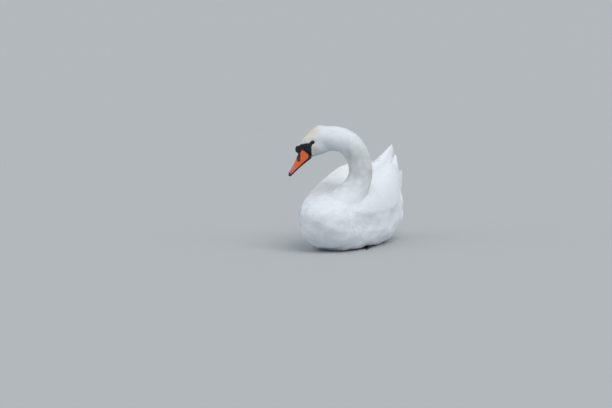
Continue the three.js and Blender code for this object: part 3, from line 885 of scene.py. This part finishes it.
is_trunk, is_low_neck, is_mid_neck, is_high_neck, is_head = (part_of == k for k in range(WINGS_FROM))
forepart = outline_points[:, 1] < -0.12
below_wings = outline_points[:, 2] < 0.075
on_left = outline_points[:, 0] > 0.0
is_flank = (is_trunk & ~forepart & ~below_wings) | (is_wing & (seam > 0.15))
for name, keep, tries, cut, coat, unwrap in (
    ("head_feathers", is_head, 90000, TUFT, velvet, round_neck),
    ("nape_feathers", is_high_neck, 70000, TUFT, velvet, round_neck),
    ("neck_feathers", is_mid_neck, 70000, TUFT, velvet, round_neck),
    ("neck_root_feathers", is_low_neck, 50000, SOFT_VANE, velvet, round_neck),
    ("breast_feathers", is_trunk & forepart, 40000, BROAD_VANE, body_coat, round_body),
    ("flank_feathers_left", is_flank & on_left, 30000, BROAD_VANE, body_coat, round_body),
    ("flank_feathers_right", is_flank & ~on_left, 30000, BROAD_VANE, body_coat, round_body),
    ("belly_feathers", is_trunk & ~forepart & below_wings, 40000, BROAD_VANE, body_coat, round_body),
):
    contour_feathers(name, keep, tries, cut, coat, unwrap)
for name, keep, cut, sparser, lower, unwrap in (
    ("head_underfeathers", is_head, UNDER_VANE, 2.4, 0.0009, round_neck),
    ("neck_underfeathers", is_high_neck | is_mid_neck | is_low_neck, UNDER_VANE, 2.2, 0.0009, round_neck),
    ("body_underfeathers", is_trunk, BODY_UNDER_VANE, 1.5, 0.0022, round_body),
):
    contour_feathers(name, keep, 30000, cut, velvet, unwrap, 1.25, sparser, lower)


# -------------------- wings
# The folded wings, held a little raised: rows of coverts that grow from scales at the bend to broad
# feathers, then long secondaries and tertials that sweep up to the tip and close over the back.
# Each row is laid round the wing, its feathers half a step beside those of the row before.

# The middle of a wing's thickness, and its lower edge: back, outward, up, lower edge.
WING_CORE = np.array([
    (-0.205, 0.074, 0.122, 0.090), (-0.150, 0.064, 0.134, 0.090), (-0.070, 0.060, 0.150, 0.090),
    (0.020, 0.058, 0.166, 0.095), (0.100, 0.052, 0.183, 0.110), (0.158, 0.040, 0.192, 0.138),
    (0.200, 0.032, 0.200, 0.158), (0.250, 0.026, 0.212, 0.178), (0.300, 0.016, 0.238, 0.202),
    (0.326, 0.011, 0.266, 0.240),
])
WING_PARTS_AT = 0.190  # from here back the left wing's tip runs lower and further forward
TIP_BACK = 0.334
TIP_OUT = 0.009
LEFT_TIP_DROP = 0.032
LEFT_TIP_AHEAD = 0.018
# Tracts from the bend back: first row, last row, step between rows, feather length, step round the wing.
TRACTS = [
    ("lesser_coverts", -0.210, -0.120, 0.0085, 0.034, 0.0100),
    ("median_coverts", -0.118, -0.030, 0.0130, 0.050, 0.0130),
    ("greater_coverts", -0.028, 0.054, 0.0200, 0.090, 0.0140),
    ("tertials", 0.062, 0.215, 0.0255, 0.150, 0.0125),
]
LONG_FROM = 0.06  # feathers longer than this are cut as flight feathers
RAY_REACH = 0.14
WIDEST_GAP = 0.02
NARROW_FROM = 0.140  # the feathers narrow over this last stretch before the wing's tip
UNDER_LENGTH = 0.040
UNDER_HALF_WIDTH = 0.0105
UNDER_SUNK = 0.0016  # at the tip; the root is deeper
OVER_TIP = 0.003  # how far a feather may reach past the wing's tip
FLAT_ARCH = 0.0002
COVERT_ARCH = 0.0006

coverts = plumage("wing_coverts", 700.0, 0.00012)
flight = plumage("flight_feathers", 1200.0, 0.00015, 0.6)


def wing_core(y, way):
    """How far out and up a wing's middle is at a station, and how high its lower edge."""
    x, z, low = (np.interp(y, WING_CORE[:, 0], WING_CORE[:, column]) for column in (1, 2, 3))
    parting = np.clip((y - WING_PARTS_AT) / (TIP_BACK - WING_PARTS_AT), 0, 1) ** 1.5
    drop = LEFT_TIP_DROP * parting * (way > 0)
    return x, z - drop, low - drop / 2


def wing_of(way):
    return "wing_left" if way > 0 else "wing_right"


def wing_tip(way):
    return np.array((way * TIP_OUT, TIP_BACK - LEFT_TIP_AHEAD * (way > 0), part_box(wing_of(way))[1].z))


def toward_tip(way):
    """The wing feathers' lie: straight back, then up to the tip."""
    tip = wing_tip(way)

    def lie_on_wing(places, faces):
        share = smooth(places[:, 1], 0.02, 0.24)[:, None] * 0.92
        return unit(np.array((0.0, 1.0, 0.07)) * (1 - share) + unit(tip - places) * share)

    return lie_on_wing


def round_wing(y, way):
    """Places round the wing at one station, from under its outer edge over the ridge into the valley."""
    x, z, low = wing_core(y, way)
    number = FLESH.index(wing_of(way))
    ring = []
    for angle in np.radians(np.arange(-75.0, 262.0, 3.0)):
        ray = Vector((way * math.cos(angle), 0.0, math.sin(angle)))
        hit = outline_tree.ray_cast(Vector((way * x, y, z)), ray, RAY_REACH)[0]
        if hit is None or hit.z < low or way * hit.x < 0.003:
            continue
        if solid_of_face[solids_tree.find_nearest(hit)[2]] == number:
            ring.append(hit[:])
    return np.array(ring)


def wing_roots(way, first, last, step, aside):
    """Where one tract's feathers start: a step apart from row to row, and aside apart in a row."""
    roots = []
    for row, y in enumerate(np.arange(first, last, step)):
        ring = round_wing(y, way)
        if len(ring) < 3:
            continue
        jumps = np.linalg.norm(np.diff(ring, axis=0), axis=1)
        along = np.concatenate([[0], np.cumsum(jumps)])
        spots = np.arange((0.25 + 0.5 * (row % 2)) * aside, along[-1], aside)
        spots += rng.uniform(-0.12, 0.12, len(spots)) * aside
        found = np.stack([np.interp(spots, along, column) for column in ring.T], 1)
        # The rows slant back a little down the wing, and no two feathers start quite level.
        found[:, 1] += rng.normal(0.0, 0.20, len(found)) * step + 0.14 * (ring[:, 2].max() - found[:, 2])
        # A place between two far apart ones hangs in the air, over the neck or trunk.
        roots.append(found[np.interp(spots, along[:-1], jumps) < WIDEST_GAP])
    return np.concatenate(roots)


def from_tip(lines, way):
    return np.linalg.norm(lines - wing_tip(way), axis=-1)


def flight_outline(shares, quill=0.45, round_from=0.72):
    return feather_outline(shares, quill, 1.9, round_from, 0.005)


for side, way, _ in SIDES:
    # Down and small coverts beneath the rows, over the whole wing.
    low = wing_core(outline_points[:, 1], way)[2]
    keep = is_wing & (outline_points[:, 0] * way > 0) & (outline_points[:, 2] > low - 0.004)
    roots, _ = scattered(keep, 20000, 1.7)
    shares = stations(5)
    lengths = np.minimum(from_tip(roots, way) + OVER_TIP, UNDER_LENGTH)
    lines, normals = marched(roots, lengths, shares, toward_tip(way), 0.1)
    half = UNDER_HALF_WIDTH * flight_outline(shares) * np.clip(from_tip(lines, way) / 0.10, 0.12, 1.0)
    heights = -UNDER_SUNK - 0.0012 * (1 - shares)
    vanes(f"wing_underfeathers_{side}", lines, normals, shares, half, heights, FLAT_ARCH,
          round_body(roots), coverts)
    for kind, first, last, step, length, aside in TRACTS:
        roots = wing_roots(way, first, last, step, aside)
        is_long = length > LONG_FROM
        lengths = length * rng.uniform(0.92, 1.08, len(roots))
        lengths = np.minimum(lengths, np.maximum(wing_tip(way)[1] + OVER_TIP - roots[:, 1], UNDER_LENGTH))
        shares = stations(14 if is_long else 6, 1.3)
        lines, normals = marched(roots, lengths, shares, toward_tip(way), 0.03)
        narrowing = np.clip((from_tip(lines, way) + 0.012) / NARROW_FROM, 0.0, 1.0)
        half = 1.1 * aside * flight_outline(shares) * narrowing
        heights = rng.uniform(0.0, 0.0004, len(roots))[:, None] - 0.0020 * (1 - shares) ** 1.2
        vanes(f"{kind}_{side}", lines, normals, shares, half, heights, COVERT_ARCH, round_body(roots),
              flight if is_long else coverts, 7 if is_long else 5, 0.03)


# -------------------- primaries
# The wing's long outermost feathers, folded into a narrow blade that shows below and behind the
# tertials: on each face of the blade a pile of them, each tucked under the one above it.

# The blade's stations: back, outward, lower edge, upper edge, thickness.
BLADE = np.array([
    (0.140, 0.080, 0.134, 0.180, 0.010), (0.200, 0.056, 0.138, 0.196, 0.012),
    (0.260, 0.043, 0.143, 0.208, 0.012), (0.305, 0.032, 0.148, 0.214, 0.010),
    (0.340, 0.021, 0.152, 0.205, 0.006),
])
BLADE_START, BLADE_END = 0.140, 0.342
PRIMARIES = 8
PRIMARY_HALF_WIDTH = 0.0115
PRIMARY_STEP = 0.0004  # how far each one lies under the one above
PRIMARY_SUNK = 0.0024
LOWEST_SHORT = 0.012  # how much shorter the lowest is
STIFF_ARCH = 0.0010
long_shares = stations(12, 1.3)


def alike(normal):
    """The same normal for each row of a long feather."""
    return np.broadcast_to(unit(np.array(normal)), (len(long_shares), 3))


for side, way, _ in SIDES:
    lines = []
    normals = []
    for face in (1.0, -1.0):
        for number in range(PRIMARIES):
            share = number / (PRIMARIES - 1)
            back = BLADE_END - ARC_DEPTH * abs(share - ARC_MIDDLE) - LOWEST_SHORT * (number == 0)
            y = BLADE_START + (back - BLADE_START) * long_shares
            x, low, high, thick = (np.interp(y, BLADE[:, 0], BLADE[:, k]) for k in (1, 2, 3, 4))
            x = x + face * (thick / 2 - PRIMARY_SUNK + PRIMARY_STEP * number)
            lines.append(np.stack([way * x, y, low + (high - low) * (0.15 + 0.72 * share)], 1))
            normals.append(alike((face * way, 0.20, 0.10 * face)))
    lines = np.array(lines)
    half = PRIMARY_HALF_WIDTH * flight_outline(long_shares, 0.6, 0.8)
    vanes(f"primaries_{side}", lines, np.array(normals), long_shares, half, 0.0, STIFF_ARCH,
          round_body(lines[:, 0]), flight, 7, clings=False)


# -------------------- tail
# A fan of stiff feathers, the middle pair on top and longest, the others shorter and stepped beneath,
# with soft coverts over and under their roots.
TAIL_DROOP = 0.009
# The tail's stations: back, height, thickness.
TAIL = np.array([(0.205, 0.150, 0.022), (0.250, 0.143, 0.018), (0.300, 0.130, 0.011),
                 (0.345, 0.117, 0.006), (0.394, 0.107, 0.002)])
TAIL_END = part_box("tail")[1].y - 0.001
# Name, feathers, where they start and the middle ones end, how far the outermost fall short, half width
# of the fan and of a feather; in thicknesses of the tail, how far above its middle the middle ones lie
# and how much higher the outermost; and in metres, how far all are raised at their roots.
FANS = [
    ("tail_feathers", 21, 0.225, TAIL_END, 0.070, 0.036, 0.0125, 0.42, -0.84, 0.0),
    ("upper_tail_coverts", 15, 0.262, TAIL_END - 0.034, 0.040, 0.031, 0.0130, 0.60, -0.50, 0.0035),
    ("lower_tail_coverts", 15, 0.262, TAIL_END - 0.030, 0.040, 0.029, 0.0130, -0.60, 0.50, -0.0035),
]
for name, count, start, end, short, reach, half_width, level, step, clear in FANS:
    lines = []
    normals = []
    for number in range(count):
        hand = 2 * number / (count - 1) - 1
        y = start + (end - short * abs(hand) ** 1.3 - start) * long_shares
        share = (y - start) / (end - start)
        x = reach * hand * (0.45 + 0.62 * share) * (1 - 0.10 * share * share)
        height, thickness = (np.interp(y, TAIL[:, 0], TAIL[:, column]) for column in (1, 2))
        z = height - TAIL_DROOP * hand * hand + thickness * (level + step * abs(hand))
        z = z + clear * (1 - 0.7 * share)
        lines.append(np.stack([x, y, z], 1))
        normals.append(alike((0.30 * hand, 0.1, math.copysign(1.0, level))))
    lines = np.array(lines)
    half = half_width * flight_outline(long_shares, 0.6, 0.80 if clear == 0 else 0.62)
    fan = vanes(name, lines, np.array(normals), long_shares, half, 0.0, STIFF_ARCH,
                round_body(lines[:, 0]), flight if clear == 0 else coverts, 7, clings=False)
    if name == "tail_feathers":
        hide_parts("tail")


# -------------------- bill
# Horn over bone: the upper bill is orange, reddening to a black nail, with black round the nostrils,
# along the cutting edge and at the base, where it swells into the black fleshy knob.
BILL_VOXEL = 0.0008
BILL_GROWTH = 0.0003
ORANGE = (0.80, 0.150, 0.020)
DEEP_ORANGE = (0.72, 0.105, 0.018)
ROSE = (0.60, 0.145, 0.150)
BLACK_HORN = (0.011, 0.011, 0.013)
WORN_HORN = (0.025, 0.024, 0.026)
# In millimetres: where the nail starts, and the bill's dark edge, which bows up in its middle and
# widens towards the gape.
NAIL_FROM = 81.0
EDGE_LENGTH = 90.0
EDGE_WIDTH = 1.9
EDGE_BOW = 2.4
EDGE_WIDENING = 2.6
# Black marks seen from the side, forward and up from the gape in millimetres.
NOSTRIL_BLACK = [(18, 40), (27, 36), (36, 27), (41, 18.5), (38.5, 14), (33, 15), (25, 23.5), (16, 33)]
BASE_BLACK = [(-8, 36), (6, 36.5), (14, 33), (22, 33), (34, 34), (34, 70), (-8, 70)]
GAPE_BLACK = [
    (-9, -9), (12, -9), (10, 5), (5, 8.5), (2.8, 13), (2.8, 20), (4.4, 28), (6.5, 34), (6.5, 40), (-9, 40)]
ALL_BLACK = -9.0  # far inside the black's edge
KNOB_SUNK = 0.0012  # under the skin that covers it
NAIL_RISE = 0.0005
WRINKLE_WIDTH = 0.004
WRINKLE_HEIGHT = 0.0004


def black_on_bill(points):
    """Millimetres from the edge of the bill's black, negative on it."""
    left, ahead, up = in_head(points).T
    bow = EDGE_BOW * np.sin(np.pi * np.clip(ahead / EDGE_LENGTH, 0, 1))
    edge = EDGE_WIDTH + bow + EDGE_WIDENING * smooth(ahead, 44.0, 8.0)
    places = np.stack([ahead, up], 1)
    marks = [outside(np.array(corners), places) for corners in (NOSTRIL_BLACK, BASE_BLACK, GAPE_BLACK)]
    return np.minimum.reduce([*marks, up - edge, NAIL_FROM + 0.03 * left * left - ahead])


paint = Paint("bill_horn", 0.38, 0.32)
mottled = paint.blend(paint.ramp(paint.speckle(260.0), 0.3, 0.7), ORANGE, DEEP_ORANGE)
rosy = paint.blend(paint.ramp(paint.stored("along_bill"), 40.0, 78.0), mottled, ROSE)
dark = paint.blend(paint.speckle(500.0), BLACK_HORN, WORN_HORN)
wandering = paint.plus(paint.stored("black"), paint.times(paint.speckle(380.0), 1.8))
coloured = paint.blend(paint.ramp(wandering, 0.4, 1.5), dark, rosy)
bill_horn = paint.finish(coloured, paint.speckle(1500.0), 0.22, 0.0003)

for name, solids in (("upper_bill", ["bill_upper", "bill_knob"]), ("lower_bill", ["bill_lower"])):
    bill_mesh = remeshed(joined(solids, BILL_GROWTH), BILL_VOXEL)
    points, edges, _ = arrays_of(bill_mesh)
    place(bill_mesh, relaxed(points, edges, 8))
    points, _, normals = arrays_of(bill_mesh)
    left, ahead, up = in_head(points).T
    nail = smooth(ahead, NAIL_FROM - 1.0, NAIL_FROM + 1.5) * smooth(np.abs(left), 8.0, 5.5)
    on_knob = smooth(up, 36.0, 42.0) * smooth(ahead, 34.0, 22.0)
    wrinkles = noise_at(points, WRINKLE_WIDTH) * WRINKLE_HEIGHT
    lift = nail * NAIL_RISE + (wrinkles - KNOB_SUNK) * on_knob
    place(bill_mesh, points + normals * lift[:, None])
    black = black_on_bill(points) if name == "upper_bill" else np.full(len(points), ALL_BLACK)
    give(bill_mesh, "black", black)
    give(bill_mesh, "along_bill", ahead)
    bill = shown(name, bill_mesh, bill_horn)
    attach(bill, "root")
    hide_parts(*solids)


# -------------------- eyes
# Small, round and dark: a wet ball with a brown iris round a black pupil, under the clear cornea.
IRIS = (0.012, 0.007, 0.004)
IRIS_STREAK = (0.024, 0.013, 0.007)
PUPIL = (0.002, 0.002, 0.002)
IRIS_RIM = (0.006, 0.005, 0.005)
# How far from the middle each reaches, as a share of the ball's radius.
PUPIL_SHARE = 0.42
RIM_SHARES = (0.66, 0.80)  # where the iris darkens into its rim
CORNEA_SHARE = 0.75
CORNEA_RISE = 0.0004

paint = Paint("eye", 0.06, 0.22, Coat_Weight=0.15, Coat_Roughness=0.02)
from_axis = paint.stored("from_axis")
iris = paint.blend(paint.speckle(1500.0), IRIS, IRIS_STREAK)
pupil = paint.blend(paint.ramp(from_axis, PUPIL_SHARE - 0.03, PUPIL_SHARE + 0.03), PUPIL, iris)
rimmed = paint.blend(paint.ramp(from_axis, *RIM_SHARES), pupil, IRIS_RIM)
paint.fill(paint.surface, {"Base Color": rimmed})

for side, way, centre in SIDES:
    ball = bmesh.new()
    bmesh.ops.create_uvsphere(ball, u_segments=48, v_segments=32, radius=eye_radius)
    turn = Vector(way * leftward).to_track_quat("Z", "Y")
    shares = []
    for vertex in ball.verts:
        share = min(math.hypot(vertex.co.x, vertex.co.y) / eye_radius, 1.0) if vertex.co.z > 0 else 1.0
        shares.append(share)
        vertex.co.z += CORNEA_RISE * max(0.0, 1 - (share / CORNEA_SHARE) ** 2)
        vertex.co = Vector(centre) + turn @ vertex.co
    eye_mesh = bpy.data.meshes.new("eyeball_" + side)
    ball.to_mesh(eye_mesh)
    ball.free()
    give(eye_mesh, "from_axis", np.array(shares))
    eyeball = shown("eyeball_" + side, eye_mesh, paint.material)
    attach(eyeball, "root")
    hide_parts("eye_" + side)


# -------------------- legs and feet
# Near black, folded flat under the flanks: a scaly shank, three long knuckled toes with leathery webs
# between them, and a blunt claw on each toe.
FOOT_VOXEL = 0.0013
FOOT_BLACK = (0.022, 0.021, 0.022)
DUSTY_BLACK = (0.050, 0.048, 0.047)
GROOVE_BLACK = (0.010, 0.010, 0.010)
CLAW = (0.030, 0.027, 0.024)
WORN_CLAW = (0.060, 0.052, 0.045)
TOES = [(-13.0, 0.112), (2.0, 0.140), (15.0, 0.128)]  # spread outwards in degrees, and length
TOE_ROOT = (0.057, 0.034)
SCUTE_STEP = 0.0042
SCUTE_RISE = 0.00018
CLAW_LENGTH = 0.009
CLAW_RADIUS = 0.0026
CLAW_ROOT = 0.003  # how much of it is inside the toe
CLAW_HOOK = 0.0018
CLAW_RINGS = 6
UPWARD = Vector((0, 0, 1))

paint = Paint("foot_skin", 0.55, 0.4)
grooves = paint.ramp(paint.cells(420.0), 0.0, 0.16)
dusty = paint.blend(paint.speckle(150.0), FOOT_BLACK, DUSTY_BLACK)
foot_skin = paint.finish(paint.blend(grooves, GROOVE_BLACK, dusty), grooves, 0.6, 0.0006)
paint = Paint("claw_horn", 0.35, 0.5)
paint.fill(paint.surface, {"Base Color": paint.blend(paint.speckle(700.0, 2.0), CLAW, WORN_CLAW)})

for side, way, _ in SIDES:
    for part in ("leg_", "foot_"):
        limb_mesh = remeshed(joined([part + side], 0.0), FOOT_VOXEL)
        points, edges, normals = arrays_of(limb_mesh)
        points = relaxed(points, edges, 6)
        scutes = SCUTE_RISE * np.sin((points[:, 1] - TOE_ROOT[1]) * 2 * math.pi / SCUTE_STEP)
        points = points + normals * (scutes * smooth(normals[:, 2], 0.0, 0.5))[:, None]
        points[:, 2] = np.maximum(points[:, 2], 0.0001)
        place(limb_mesh, points)
        limb = shown("skin_" + part + side, limb_mesh, foot_skin)
        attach(limb, "root")
        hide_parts(part + side)
    claws = bmesh.new()
    for spread, length in TOES:
        turn = math.radians(spread)
        ahead = Vector((way * math.sin(turn), -math.cos(turn), 0.0))
        aside = ahead.cross(UPWARD)
        base = Vector((way * TOE_ROOT[0], TOE_ROOT[1], CLAW_RADIUS)) + ahead * (length - CLAW_ROOT)
        rings = []
        for share in np.linspace(0.0, 1.0, CLAW_RINGS).tolist():
            radius = CLAW_RADIUS * (1 - share) ** 0.6 + 0.0002
            centre = base + ahead * (CLAW_LENGTH * share) - UPWARD * (CLAW_HOOK * share * share)
            rings.append([
                centre + aside * (radius * 0.8 * math.cos(a)) + UPWARD * (radius * math.sin(a))
                for a in np.arange(8) * math.pi / 4
            ])
        lofted(claws, rings)
    bmesh.ops.recalc_face_normals(claws, faces=claws.faces)
    claw_mesh = bpy.data.meshes.new("claws_" + side)
    claws.to_mesh(claw_mesh)
    claws.free()
    claw_piece = shown("claws_" + side, claw_mesh, paint.material)
    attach(claw_piece, "root")
